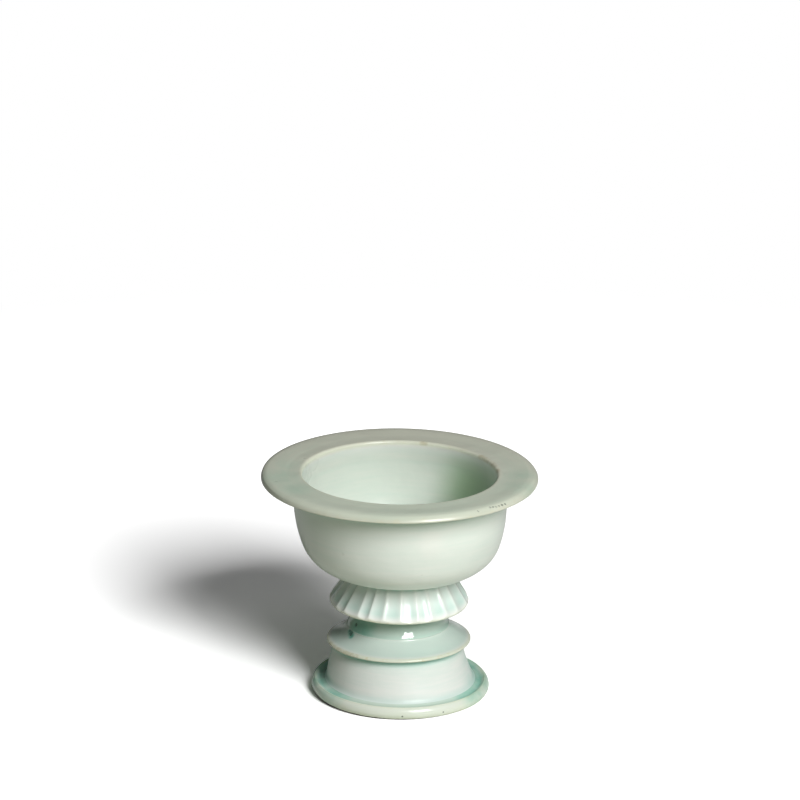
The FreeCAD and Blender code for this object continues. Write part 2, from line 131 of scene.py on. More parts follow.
class Bench:
    """One material's node tree, with the few mixing steps that the finishes need."""

    def __init__(self, name):
        self.material = bpy.data.materials.new(name)
        self.material.use_nodes = True
        self.tree = self.material.node_tree
        self.tree.nodes.clear()

    def add(self, kind, settings=None, inputs=None):
        """Add a node: its settings first, then the values or links of its sockets."""
        node = self.tree.nodes.new(kind)
        for key, value in (settings or {}).items():
            setattr(node, key, value)
        pairs = inputs.items() if isinstance(inputs, dict) else enumerate(inputs or [])
        for key, value in pairs:
            socket = value.socket if isinstance(value, Value) else value
            if isinstance(socket, bpy.types.NodeSocket):
                self.tree.links.new(socket, node.inputs[key])
            else:
                node.inputs[key].default_value = socket
        return node

    def reading(self, name):
        """A number that was stored at every point of the mesh."""
        node = self.add("ShaderNodeAttribute", {"attribute_name": name})
        return Value(self, node.outputs["Fac"])

    def place(self):
        """The object's own coordinates, in metres."""
        return self.add("ShaderNodeTexCoord").outputs["Object"]

    def noise(self, place, scale, detail=2.0, roughness=0.5):
        """Cloudy noise between about 0.3 and 0.7, at the given number of clouds a metre."""
        node = self.add("ShaderNodeTexNoise", {},
                        {"Vector": place, "Scale": scale, "Detail": detail, "Roughness": roughness})
        return Value(self, node.outputs["Fac"])

    def axes(self, place):
        """The three coordinates of a place as numbers."""
        node = self.add("ShaderNodeSeparateXYZ", {}, [place])
        return [Value(self, node.outputs[index]) for index in range(3)]

    def colour(self, red, green, blue):
        return self.add("ShaderNodeCombineColor", {}, [red, green, blue]).outputs[0]

    def mix(self, share, first, second):
        """Blend two colours by a share from 0 to 1."""
        node = self.add("ShaderNodeMix", {"data_type": "RGBA"}, {0: share, 6: first, 7: second})
        return node.outputs[2]

    def distance(self, place, centre_mm):
        """How far the surface is from a place given in millimetres, in millimetres."""
        centre = [value * MM for value in centre_mm]
        node = self.add("ShaderNodeVectorMath", {"operation": "DISTANCE"}, [place, centre])
        return Value(self, node.outputs["Value"]) * TO_MM

    def bump(self, height, depth_mm, below=None):
        """Turn a height from 0 to 1 into a bump of that depth, on top of the one below it."""
        node = self.add("ShaderNodeBump", {}, {"Height": height, "Distance": depth_mm * MM})
        if below is not None:
            self.tree.links.new(below, node.inputs["Normal"])
        return node.outputs[0]

    def finish(self, shader):
        output = self.add("ShaderNodeOutputMaterial")
        self.tree.links.new(shader, output.inputs["Surface"])
        return self.material


print("bench ready")

# %% [markdown]
# ## Studio
# A catalogue photograph of porcelain is lit by one large softbox, here to the right of the camera
# and above it, and stands on a white sweep. The shadow that runs back to the left gives the
# softbox's direction, and its soft end gives the softbox's size. The sweep is an ordinary pale
# floor to the light that falls on it. Only rays from the camera and reflections see it brighter,
# and far behind it is pure white to the camera. The glaze mirrors that far part more dimly,
# because at full white it would put hard crescents on the edges.

# %% Floor
FLOOR_HALF = 6.0
FLOOR_PAPER = (0.56, 0.60, 0.47)
NEAR_RING = (48.0, 135.0)
FAR_RING = (150.0, 600.0)
SWEEP_RING = (420.0, 640.0)
FLOOR_SEEN_NEAR = 1.95
FLOOR_SEEN = 2.9
FLOOR_FAR_GAIN = 3.0
FLOOR_MIRRORED = 1.3
SWEEP_MIRRORED = 0.45


def make_floor():
    mesh = bpy.data.meshes.new("floor_sheet")
    corners = [(x * FLOOR_HALF, y * FLOOR_HALF, 0) for x, y in ((-1, -1), (1, -1), (1, 1), (-1, 1))]
    mesh.from_pydata(corners, [], [(0, 1, 2, 3)])
    floor = bpy.data.objects.new("floor", mesh)
    bpy.context.scene.collection.objects.link(floor)
    return floor


def floor_paper():
    """Paper that the camera and reflections see in other tones than the light does."""
    bench = Bench("white_sweep")
    path = bench.add("ShaderNodeLightPath")
    camera_ray = Value(bench, path.outputs["Is Camera Ray"])
    mirrored = (Value(bench, path.outputs["Is Glossy Ray"])
                + Value(bench, path.outputs["Is Transmission Ray"])).clamp()
    seen = (camera_ray + mirrored).clamp()
    away = bench.distance(bench.place(), (0, 0, 0))
    bright = (FLOOR_SEEN_NEAR + away.between(*NEAR_RING) * (FLOOR_SEEN - FLOOR_SEEN_NEAR)
              + away.between(*FAR_RING) * FLOOR_FAR_GAIN)
    tones = [camera_ray * (bright - tone) + mirrored * (FLOOR_MIRRORED - tone) + tone
             for tone in FLOOR_PAPER]
    paper = bench.add("ShaderNodeBsdfDiffuse", {}, {"Color": bench.colour(*tones)})
    white = bench.add("ShaderNodeEmission", {}, {
        "Color": (1, 1, 1, 1), "Strength": camera_ray + mirrored * SWEEP_MIRRORED})
    mixed = bench.add("ShaderNodeMixShader", {}, {
        0: away.between(*SWEEP_RING) * seen, 1: paper.outputs[0], 2: white.outputs[0]})
    return bench.finish(mixed.outputs[0])


floor = make_floor()
floor.data.materials.append(floor_paper())
print("floor %.0f m wide" % (2 * FLOOR_HALF))

# %% World
FILL_STRENGTH = 0.055
WHITE = (1.0, 1.0, 1.0, 1.0)


def light_world():
    """A dim even fill for the object, and white where the camera looks past the floor."""
    world = bpy.data.worlds.new("studio")
    world.use_nodes = True
    tree = world.node_tree
    tree.nodes.clear()
    path = tree.nodes.new("ShaderNodeLightPath")
    pick = tree.nodes.new("ShaderNodeMixShader")
    tree.links.new(path.outputs["Is Camera Ray"], pick.inputs[0])
    for socket, strength in ((1, FILL_STRENGTH), (2, 1.0)):
        glow = tree.nodes.new("ShaderNodeBackground")
        glow.inputs["Color"].default_value = WHITE
        glow.inputs["Strength"].default_value = strength
        tree.links.new(glow.outputs[0], pick.inputs[socket])
    output = tree.nodes.new("ShaderNodeOutputWorld")
    tree.links.new(pick.outputs[0], output.inputs["Surface"])
    bpy.context.scene.world = world


light_world()
print("fill", FILL_STRENGTH)

# %% Softbox
KEY_TURN = 28.6
KEY_RISE = 34.0
KEY_AWAY = 1.25
KEY_SIZE = (0.48, 0.56)
KEY_WATTS = 15.4
AIM_HEIGHT = 0.06


def hang_softbox(name, turn, rise, away, size, watts):
    """A softbox that looks at the middle of the censer, turned right of the camera."""
    lamp = bpy.data.lights.new(name, "AREA")
    lamp.shape = "RECTANGLE"
    lamp.size, lamp.size_y = size
    lamp.energy = watts
    softbox = bpy.data.objects.new(name, lamp)
    across = away * math.cos(math.radians(rise))
    softbox.location = (across * math.sin(math.radians(turn)),
                        -across * math.cos(math.radians(turn)),
                        away * math.sin(math.radians(rise)) + AIM_HEIGHT)
    softbox.rotation_euler = (math.radians(90.0 - rise), 0.0, math.radians(turn))
    softbox.visible_camera = False
    bpy.context.scene.collection.objects.link(softbox)
    return softbox


key = hang_softbox("key_softbox", KEY_TURN, KEY_RISE, KEY_AWAY, KEY_SIZE, KEY_WATTS)
bpy.context.scene.view_settings.view_transform = "Standard"
print("key softbox at", tuple(round(value, 3) for value in key.location))

# %% [markdown]
# ## One outline for the whole skin
# A thrown pot is a solid of revolution, so its outline on one side of the axis holds the whole
# shape. The glaze covers the joints between the sections, so the skin is drawn as one line from
# the foot ring to the middle of the bowl's floor. Corners are marked with how far glaze and
# sponge have softened them, and with the name of the section that starts there.

# %% A line that is drawn corner by corner
FINE_STEP = 0.05
ARC_STRIDE = 30.0
HOLLOW_STEPS = 24


def length_along(points):
    """The distance from a line's first point to each of its points."""
    return np.concatenate(([0.0], np.cumsum(np.linalg.norm(np.diff(points, axis=0), axis=1))))


class Outline:
    """A line of radius and height in millimetres."""

    def __init__(self):
        self.corners = []

    def to(self, radius, height, ease=0.0, pool=None, section=None):
        """Go straight to a corner; ease is the length over which it is rounded on each side."""
        self.corners.append((radius, height, ease, pool, section))

    def pool(self, amount):
        """Set how much extra glaze lies at the last corner."""
        radius, height, ease, _, section = self.corners[-1]
        self.corners[-1] = (radius, height, ease, amount, section)

    def sweep(self, centre, height, curve, first, last):
        """Go round an arc between two directions in degrees."""
        steps = max(2, int(abs(last - first) * curve / ARC_STRIDE))
        for step in range(steps + 1):
            turn = math.radians(first + (last - first) * step / steps)
            self.to(centre + curve * math.cos(turn), height + curve * math.sin(turn))

    def hollow(self, radius, height, curve, ease=0.0, pool=None, section=None):
        """Go to a corner along a sagging arc that curves away from the clay."""
        start = np.array(self.corners[-1][:2])
        end = np.array((radius, height))
        chord = end - start
        half = np.linalg.norm(chord) / 2
        left = np.array((-chord[1], chord[0])) / (2 * half)
        centre = (start + end) / 2 - left * math.sqrt(curve ** 2 - half ** 2)
        first = math.atan2(start[1] - centre[1], start[0] - centre[0])
        last = math.atan2(end[1] - centre[1], end[0] - centre[0])
        turn = (last - first + math.pi) % (2 * math.pi) - math.pi
        for step in range(1, HOLLOW_STEPS):
            angle = first + turn * step / HOLLOW_STEPS
            self.to(centre[0] + curve * math.cos(angle), centre[1] + curve * math.sin(angle))
        self.to(radius, height, ease, pool, section)

    def trace(self):
        """Round the corners and return fine points, hand-set pool values and section starts."""
        rows = [self.corners[0][:2]]
        marks = [0]
        for first, second in zip(self.corners, self.corners[1:]):
            gap = math.dist(first[:2], second[:2])
            count = max(1, math.ceil(gap / FINE_STEP))
            for step in range(1, count + 1):
                share = step / count
                rows.append((first[0] + (second[0] - first[0]) * share,
                             first[1] + (second[1] - first[1]) * share))
            marks.append(len(rows) - 1)
        sharp = np.array(rows)
        along = length_along(sharp)
        soft = sharp.copy()
        for mark, corner in zip(marks, self.corners):
            ease = corner[2]
            if ease <= 0 or mark in (0, len(rows) - 1):
                continue
            middle = along[mark]
            near = np.abs(along - middle) < ease
            share = ((along[near] - middle + ease) / (2 * ease))[:, None]
            ends = [np.array([np.interp(middle + side * ease, along, sharp[:, axis])
                              for axis in (0, 1)]) for side in (-1, 1)]
            soft[near] = ((1 - share) ** 2 * ends[0] + 2 * share * (1 - share) * sharp[mark]
                          + share ** 2 * ends[1])
        pools = [(along[mark], corner[3]) for mark, corner in zip(marks, self.corners)
                 if corner[3] is not None]
        extra = np.interp(along, *zip(*pools))
        starts = {corner[4]: mark for mark, corner in zip(marks, self.corners) if corner[4]}
        return soft, extra, starts


print("fine step", FINE_STEP, "mm")

# %% [markdown]
# ## Sizes from the solids
# Each solid's box says where its section begins and ends. The corners below are measured from
# those boxes, so the skin stays on the solids. The radii that no box tells, and the three arcs of
# the bowl, are those of the solids too.

# %% Read the main sizes
HALF_SLIP = 0.15
DRUM_TOP = 28.7
NECK = 19.5
COLLAR_HEAD = 21.9
BOWL_MOUTH = 46.47
BOWL_MOUTH_INSIDE = 43.44


def low_high(node):
    """A solid's lowest and highest point and its radius, in millimetres."""
    low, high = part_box(node)
    return low.z / MM, high.z / MM, high.x / MM


drum_low, drum_high, _ = low_high("foot_drum")
disc_low, _, disc_radius = low_high("stem_disc")
neck_low, neck_high, _ = low_high("stem_neck")
collar_low = low_high("fluted_collar")[0]
collar_seat = low_high("collar_slip")[0]
bowl_low = low_high("bowl")[0]
rim_low, rim_high, rim_radius = low_high("rim_flange")
foot_joint, disc_joint, neck_joint, bowl_joint, rim_joint = (
    low - HALF_SLIP for low in (drum_low, disc_low, neck_low, bowl_low, rim_low))
print("rim %.1f mm across, %.1f mm tall" % (2 * rim_radius, rim_high))

# %% Draw the glazed skin from the foot to the head of the neck
GUTTER_CURVE = 3.8
DRUM_CURVE = 150.0

skin = Outline()
skin.to(35.28, 0.0, pool=0.0, section="foot_flange")
skin.to(38.2, 0.0, ease=0.15)
skin.to(38.95, 0.6, ease=0.15, pool=0.0)
skin.sweep(36.4, 2.589, 3.2, -35, 60)
skin.pool(0.12)
skin.sweep(37.75, 4.817, 0.65, 62, 148)
skin.to(36.1, 4.4, ease=0.6, pool=-0.1)
skin.to(35.6, 4.33, ease=0.3, pool=-0.08)
skin.hollow(33.54, 5.31, GUTTER_CURVE, pool=-0.12, section="foot_drum")
skin.hollow(32.4, 7.3, GUTTER_CURVE, pool=-0.12)
skin.hollow(31.9, 9.2, DRUM_CURVE, pool=-0.12)
skin.hollow(DRUM_TOP + 1.1, disc_joint - 6.0, DRUM_CURVE, pool=-0.08)
skin.hollow(DRUM_TOP + 0.5, disc_joint - 3.2, DRUM_CURVE, pool=0.12)
skin.hollow(DRUM_TOP + 0.05, disc_joint - 1.2, DRUM_CURVE, pool=0.25)
skin.to(DRUM_TOP, disc_joint, ease=1.1, pool=0.3, section="stem_disc")
skin.to(disc_radius - 0.75, disc_low + 0.05, ease=0.5, pool=0.0)
skin.to(disc_radius, disc_low + 0.55, ease=0.6)
skin.to(disc_radius - 0.45, disc_low + 1.35, ease=0.55, pool=0.0)
skin.hollow(23.1, 30.55, 24.0, ease=0.25, pool=-0.05)
skin.to(22.98, 30.9, ease=0.2, pool=-0.22, section="stem_neck")
skin.to(22.6, 31.0, ease=0.25, pool=-0.05)
skin.hollow(19.62, 41.2, 18.5, pool=0.1)
skin.to(NECK, collar_low + 1.5, ease=1.2, pool=0.12)
skin.to(NECK, collar_seat, ease=1.0, pool=0.22, section="fluted_collar")
print(len(skin.corners), "corners up to the head of the neck")

# %% Draw collar, bowl and rim, and come back down inside
BOWL_WALL = 3.0
BASE_ARC = (22.57, 96.897, 40.0)
BELLY_ARC = (26.3, 75.724, 18.5)
SIDE_ARC = (-13.1, 88.755, 60.0)


def inside(arc):
    """The same arc on the inside of the bowl's wall."""
    centre, height, curve = arc
    return centre, height, curve - BOWL_WALL


skin.to(22.4, collar_seat, ease=0.9)
skin.to(28.45, collar_low - 0.45, ease=0.6, pool=0.0)
skin.to(30.0, collar_low - 0.7, ease=0.5, pool=0.05)
skin.sweep(28.7, 42.715, 2.2, -33, 33)
skin.pool(0.22)
skin.to(COLLAR_HEAD + 1.9, bowl_joint - 2.81, pool=-0.12)
skin.to(COLLAR_HEAD, bowl_joint - 0.05, ease=1.0, pool=0.40, section="bowl")
skin.sweep(*BASE_ARC, -89, -80)
skin.pool(0.08)
skin.sweep(*BELLY_ARC, -78, -18.3)
skin.pool(0.02)
skin.sweep(*SIDE_ARC, -17.5, 1.0)
skin.pool(0.02)
skin.sweep(*SIDE_ARC, 1.5, 6.5)
# The extra glaze at the mouth under the rim is partly real pooling and partly painted shade under
# the rim's overhang.
skin.pool(0.25)
skin.to(BOWL_MOUTH, rim_joint, section="rim_flange")
skin.to(BOWL_MOUTH, rim_high - 3.0, ease=2.2, pool=0.25)
skin.to(rim_radius - 0.5, rim_high - 3.05, ease=0.45, pool=0.0)
skin.to(rim_radius - 0.02, rim_high - 2.6, ease=0.5)
skin.to(rim_radius - 0.75, rim_high - 1.25, ease=0.7)
skin.to(rim_radius - 2.2, rim_high - 0.32, ease=0.8)
skin.to(rim_radius - 4.6, rim_high - 0.02, ease=1.5)
skin.to(50.0, rim_high - 0.15)
skin.to(42.6, rim_high, ease=1.7)
skin.to(43.25, rim_joint, section="bowl_inside")
skin.sweep(*inside(SIDE_ARC), 3.0, -18.3)
skin.sweep(*inside(BELLY_ARC), -20, -80)
skin.sweep(*inside(BASE_ARC), -81, -89.9)
skin.to(0.0, 59.9)

skin_points, skin_pool, skin_starts = skin.trace()
print("skin: %d points, sections start at %s" % (len(skin_points), skin_starts))

# %% [markdown]
# ## How thick the glaze lies
# Melted glaze draws back from sharp edges and gathers in hollows. How fast the outline turns, and
# to which side, therefore says how thick the glaze is: the turn is measured along the line,
# smoothed over a millimetre or so, and squeezed into a number from 0 (an edge) through 0.5 (flat)
# to 1 (a deep hollow). Where the photograph shows more or less glaze than that, the outline's own
# pool values are added. Two more numbers say how far a place is above the line where the glaze
# ends under the foot, and whether it lies inside the bowl.

# %% Measure the hollows along the skin
BEND_BLUR = 0.9
HOLLOW_GAIN = 2.6
GLAZE_STARTS = 3.85
INNER_EDGE_RADIUS = 43.2
INNER_EDGE_DROP = 1.2
INSIDE_FADE = 6.0


def smooth(values, width, around=False):
    """Blur a row of values with a bell of that width in steps; around closes it into a ring."""
    reach = int(3 * width)
    bell = np.exp(-0.5 * (np.arange(-reach, reach + 1) / width) ** 2)
    padded = np.pad(values, reach, mode="wrap" if around else "edge")
    return np.convolve(padded, bell / bell.sum(), mode="valid")


def headings(points):
    """The direction of every step of a line, in radians."""
    step = np.diff(points, axis=0)
    return np.unwrap(np.arctan2(step[:, 1], step[:, 0]))


def turning(points):
    """How fast a line turns to the left, in radians a millimetre."""
    length = np.linalg.norm(np.diff(points, axis=0), axis=1)
    heading = headings(points)
    spread = smooth(np.append(heading, heading[-1]), BEND_BLUR / FINE_STEP)
    return np.gradient(spread) / np.append(length, length[-1])


skin_along = length_along(skin_points)
skin_turn = turning(skin_points)
skin_depth = np.clip(0.5 - 0.5 * np.tanh(HOLLOW_GAIN * skin_turn) + skin_pool, 0.0, 1.0)
skin_glazed = skin_along - GLAZE_STARTS
inner_edge = int(np.argmax((skin_points[:, 1] > rim_high - INNER_EDGE_DROP)
                           & (skin_points[:, 0] < INNER_EDGE_RADIUS)))
skin_inside = np.clip((skin_along - skin_along[inner_edge]) / INSIDE_FADE, 0.0, 1.0)
print("glaze depth from %.2f to %.2f" % (skin_depth.min(), skin_depth.max()))

# %% [markdown]
# ## From a line to a mesh
# A mesh needs points close together where the line turns and few where it runs straight. Each
# stretch of the skin is therefore walked with a stride that shortens as the line turns.

# %% Choose the points of a stretch
PLAIN_STRIDE = 1.1
TURN_STRIDE = 0.13
FLAT = 0.5
BARE = -9.0


def pick_points(first, last):
    """Choose which fine points of the skin to keep between two of its places."""
    step = np.diff(skin_along[first:last + 1])
    bend = np.abs(np.append(np.diff(headings(skin_points[first:last + 1])), 0.0))
    effort = np.concatenate(([0.0], np.cumsum(step / PLAIN_STRIDE + bend / TURN_STRIDE)))
    count = max(2, int(math.ceil(effort[-1])) + 1)
    wanted = np.linspace(0.0, effort[-1], count)
    chosen = np.unique(np.searchsorted(effort, wanted - 1e-9))
    return [first + int(index) for index in np.clip(chosen, 0, last - first)]


def skin_rows(start, end=None):
    """A section's stretch, up to another's start or to the skin's end, as rows of five numbers.

    They are radius, height, glaze depth, distance above the glaze's edge and share inside.
    """
    first = skin_starts[start]
    last = skin_starts[end] if end else len(skin_points) - 1
    columns = (skin_points[:, 0], skin_points[:, 1], skin_depth, skin_glazed, skin_inside)
    return [tuple(column[index] for column in columns) for index in pick_points(first, last)]


def bare_rows(*corners):
    """Rows of bare clay through the given corners, for joints and the hollow foot."""
    return [(radius, height, FLAT, BARE, 0.0) for radius, height in corners]


print("the rim takes %d rows" % len(skin_rows("rim_flange", "bowl_inside")))

# %% [markdown]
# ## The wheel was not a lathe
# Each section leans and sits a little off the axis, and drying made the round ones slightly oval.
# One smooth warp of space carries all of it, so that neighbouring sections still meet. It also
# curls the rim up a little, most at the back right, keeps the rim's edge crisp at the back left,
# and tips the foot's bevel, which opens a dark gap over the table at the left. The amounts were
# read from the photograph and stay under 2 mm.

# %% The potter's irregularities
LEVELS = (0, 0.6, 5.5, 13, 18, 23, 28, 32, 36, 44, 52, 65, 80, 96, 102)
SHIFT = (0.2, 0.2, 0.0, -0.9, -1.1, -0.7, -0.3, -1.3, -1.0, -0.3, 0.1, 0.6, 0.3, -0.1, -0.1)
LEAN = (0, -15.0, -15.7, -15, -12, -5, -5, -10, -16, -21, -16, -10, -10, -10.5, -10.5)
NOD = (0, 0, 0, 0, -6, -16, -20, -12, -6, 0, 0, 0, 0, 0, 0)
OVAL = (0.0, 0.06, 0.06, 0.08, 0.08, 0.08, 0.08, 0.05, 0.05, 0.08, 0.1, 0.15, 0.18, 0.2, 0.22)
CURL_HEIGHTS = (97.0, 99.5)
CURL_RADII = (45.0, 59.0)
CRISP_HEIGHTS = (99.1, 100.5)
CRISP_RADIUS = 50.0
CRISP_TURN = 2.6
GROWING = (0.0, 1.0)


def settle(places):
    """Warp points in millimetres: shift, lean, nod and oval by height, then the rim's own shape."""
    x, y, z = places[:, 0], places[:, 1], places[:, 2]
    turn, reach = np.arctan2(y, x), np.hypot(x, y)
    lean, nod, shift, oval = (np.interp(z, LEVELS, row) for row in (LEAN, NOD, SHIFT, OVAL))
    swell = oval * (np.cos(2 * turn + 0.9) + 0.5 * np.cos(3 * turn + 2.1)) * reach / 50.0
    droop = 0.5 * oval * np.cos(2 * turn + 2.4) * reach / 60.0
    curl = 0.5 + 0.45 * np.sin(turn) + 0.3 * np.cos(turn)
    curl = curl * np.interp(z, CURL_HEIGHTS, GROWING) * np.interp(reach, CURL_RADII, GROWING)
    crisp = 0.5 * np.clip(np.cos(turn - CRISP_TURN), 0.0, 1.0)
    crisp = crisp * np.interp(z, CRISP_HEIGHTS, GROWING) * (reach > CRISP_RADIUS) * (rim_high - z)
    moved = places.copy()
    moved[:, 0] = x + swell * np.cos(turn) + shift
    moved[:, 1] = y + swell * np.sin(turn)
    moved[:, 2] = z + x * lean * MM + y * nod * MM + droop + curl + crisp
    return moved


foot_point = settle(np.array([[-39.0, 0.0, 0.6]]))[0]
print("the bevel at the left is lifted to %.2f mm" % foot_point[2])

# %% Turn rows of points round the axis
WHEEL_STEPS = 240
SHARP_ANGLE = 38.0
ON_AXIS = 1e-6
wheel_turns = np.linspace(0.0, 2 * math.pi, WHEEL_STEPS, endpoint=False)


def faces_between(lower, upper):
    """The faces between two rings, which are triangles where one ring is a single point."""
    faces = []
    for step in range(len(lower)):
        following = (step + 1) % len(lower)
        corners = (lower[step], lower[following], upper[following], upper[step])
        corners = list(dict.fromkeys(corners))
        if len(corners) > 2:
            faces.append(corners)
    return faces


def throw(name, rows, turns=wheel_turns, carve=None, closed=True):
    """Turn rows round the axis; a row on the axis becomes one point. carve may move the rings."""
    count = len(turns)
    places, depths, edges, insides, rings = [], [], [], [], []
    for index, (radius, height, depth, edge, inner) in enumerate(rows):
        size = 1 if radius < ON_AXIS else count
        ring = [np.full(size, value) for value in (radius, height, depth)]
        radii, heights, ring_depths = carve(index, *ring) if carve else ring
        rings.append([len(places) + step % size for step in range(count)])
        places.extend(zip(radii * np.cos(turns[:size]), radii * np.sin(turns[:size]), heights))
        depths.extend(ring_depths)
        edges.extend([edge] * size)
        insides.extend([inner] * size)
    faces = [face for pair in zip(rings, rings[1:]) for face in faces_between(*pair)]
    if closed:
        faces += faces_between(rings[-1], rings[0])
    mesh = bpy.data.meshes.new(name + "_mesh")
    mesh.from_pydata([tuple(row) for row in settle(np.array(places)) * MM], [], faces)
    readings = {"glaze_depth": depths, "glaze_edge": edges, "glaze_inside": insides}
    for label, values in readings.items():
        layer = mesh.attributes.new(label, "FLOAT", "POINT")
        layer.data.foreach_set("value", np.array(values, dtype=np.float32))
    mesh.shade_smooth()
    mesh.set_sharp_from_angle(angle=math.radians(SHARP_ANGLE))
    piece = bpy.data.objects.new(name, mesh)
    bpy.context.scene.collection.objects.link(piece)
    print("%-16s %6d points %6d faces" % (name, len(places), len(faces)))
    return piece


# %% [markdown]
# ## Foot flange, drum, disc tier and neck
# Each section is the stretch of skin between two joints, closed by the joint's own faces and by
# the bare clay of the hollow inside. At a joint the skin of both sections meets edge to edge, and
# a shallow step behind it leaves room for the slip.

# %% Throw the lower sections
STEP_IN = 0.8
NECK_STEP_IN = 1.9
FOOT_BORE = 29.9
DRUM_BORE = 25.3
NECK_BORE = 15.4

seam = {name: tuple(skin_points[mark]) for name, mark in skin_starts.items()}
shoulders = {
    "foot_drum": (seam["foot_drum"][0] - STEP_IN, foot_joint),
    "stem_disc": (seam["stem_disc"][0] - STEP_IN, disc_joint),
    "stem_neck": (seam["stem_neck"][0] - NECK_STEP_IN, neck_joint),
}


def joint(name, side, bore):
    """Corners across a joint from the skin to the bore, on the upper (1) or lower (-1) side."""
    shoulder, level = shoulders[name]
    level = level + side * HALF_SLIP
    return [(shoulder, seam[name][1]), (shoulder, level), (bore, level)]


flange_underside = [(FOOT_BORE + 0.5, 4.0), (32.6, 2.1), (34.9, 0.35)]
foot_flange = throw(
    "foot_flange_glazed",
    skin_rows("foot_flange", "foot_drum")
    + bare_rows(*joint("foot_drum", -1, FOOT_BORE + 0.3), *flange_underside))

drum_bore = [(FOOT_BORE - (FOOT_BORE - DRUM_BORE) * share ** 0.8,
              drum_low + share * (drum_high - drum_low)) for share in np.linspace(0.96, 0.04, 14)]
foot_drum = throw(
    "foot_drum_glazed",
    skin_rows("foot_drum", "stem_disc")
    + bare_rows(*joint("stem_disc", -1, DRUM_BORE), *drum_bore)
    + bare_rows(*reversed(joint("foot_drum", 1, FOOT_BORE))))

disc_underside = [(NECK_BORE, 30.4), (NECK_BORE + 0.5, 28.6), (18.0, 26.6), (22.0, 24.6),
                  (24.6, 23.6)]
stem_disc = throw(
    "stem_disc_glazed",
    skin_rows("stem_disc", "stem_neck")
    + bare_rows(*joint("stem_neck", -1, NECK_BORE), *disc_underside)
    + bare_rows(*reversed(joint("stem_disc", 1, DRUM_BORE))))

sleeve_foot = seam["fluted_collar"][1] + 1.0
neck_head = [(NECK - 0.02, sleeve_foot), (NECK, neck_high - 0.3), (NECK - 0.4, neck_high)]
neck_bore = [(NECK_BORE, height) for height in (neck_high, 48.0, 40.0, 34.5)]
stem_neck = throw(
    "stem_neck_glazed",
    skin_rows("stem_neck", "fluted_collar")
    + bare_rows(*neck_head, *neck_bore)
    + bare_rows(*reversed(joint("stem_neck", 1, NECK_BORE))))

# %% [markdown]
# ## Fluted collar
# After throwing, the potter cut about 26 hollow flutes down the cone with a knife, by eye, so
# their widths vary by a few degrees. The cuts die out above a plain lip and under the bowl.
# Between two cuts stands a sharp ridge, which the glaze has rounded. The flutes are real hollows
# in this mesh: each ring of the cone is pushed in by the depth of the cut, and the glaze is thin
# on the ridges and gathers along one side of each flute.

# %% Lay out the flutes
RIDGES_SEEN = (-153.7, -141.8, -126.3, -116.0, -103.8, -89.0, -74.1, -61.7, -46.7, -32.8, -13.8)
FLUTES_BEHIND = 16
FLUTE_POINTS = 22
FLUTE_DEPTH = 0.85
WIDTH_SPREAD = (0.86, 1.14)
DEPTH_SPREAD = (0.85, 1.12)

hand = random.Random(26)
behind = [hand.uniform(*WIDTH_SPREAD) for _ in range(FLUTES_BEHIND)]
spare = 360.0 - (RIDGES_SEEN[-1] - RIDGES_SEEN[0])
ridges = list(RIDGES_SEEN)
for width in behind[:-1]:
    ridges.append(ridges[-1] + spare * width / sum(behind))
flute_depths = [FLUTE_DEPTH * hand.uniform(*DEPTH_SPREAD) for _ in ridges]

shares = np.arange(FLUTE_POINTS) / FLUTE_POINTS
next_ridges = ridges[1:] + [ridges[0] + 360.0]
collar_turns = np.radians(np.concatenate(
    [first + (second - first) * shares for first, second in zip(ridges, next_ridges)]))
across_flute = np.tile(shares, len(ridges))
flute_shape = 1.0 - np.abs(2 * across_flute - 1.0) ** 2
depth_by_flute = np.repeat(flute_depths, FLUTE_POINTS)
print(len(ridges), "flutes, %d points round the collar" % len(collar_turns))

# %% Carve the collar
SKIRT_SLOPE = math.radians(35.6)
SKIRT_FOOT = (30.5, 43.95)
SKIRT_LENGTH = 15.0
SKIRT_FOOT_SHARE = 0.86
SKIRT_HEAD_GAIN = 0.10
LIP_TOP = -2.2
HEAD_FADE = 1.6
CUT_BLUR = 0.9
RIDGE_BLUR = 1.3
POOL_IN_FLUTE = 0.22
LOSS_ON_RIDGE = 0.12

collar_rows = skin_rows("fluted_collar", "bowl")
skirt_normal = (math.cos(SKIRT_SLOPE), math.sin(SKIRT_SLOPE))
skirt_line = (-skirt_normal[1], skirt_normal[0])


def from_skirt(radius, height):
    """How far up the slope a place is, and how far in front of it, in millimetres."""
    across, rise = radius - SKIRT_FOOT[0], height - SKIRT_FOOT[1]
    return (across * skirt_line[0] + rise * skirt_line[1],
            across * skirt_normal[0] + rise * skirt_normal[1])


def carve_flutes(index, radii, heights, depths):
    """Cut the flutes into a ring of the cone; other rings stay as they are."""
    if index >= len(collar_rows):
        return radii, heights, depths
    height = collar_rows[index][1]
    up, front = from_skirt(*collar_rows[index][:2])
    if up < LIP_TOP:
        return radii, heights, depths
    share = SKIRT_FOOT_SHARE + SKIRT_HEAD_GAIN * up / SKIRT_LENGTH
    head = np.clip((bowl_joint - height) / HEAD_FADE, 0.0, 1.0)
    cut = np.maximum(depth_by_flute * share * flute_shape - max(0.0, -front), 0.0)
    cut = smooth(cut, CUT_BLUR, around=True) * head
    ridge = smooth((1.0 - flute_shape) ** 3, RIDGE_BLUR, around=True)
    fade = np.clip((up + 1.2) / 2.0, 0.0, 1.0) * head
    gained = POOL_IN_FLUTE * cut * across_flute / FLUTE_DEPTH - LOSS_ON_RIDGE * ridge
    return (radii - cut * skirt_normal[0], heights - cut * skirt_normal[1],
            np.clip(depths + fade * gained, 0.0, 1.0))


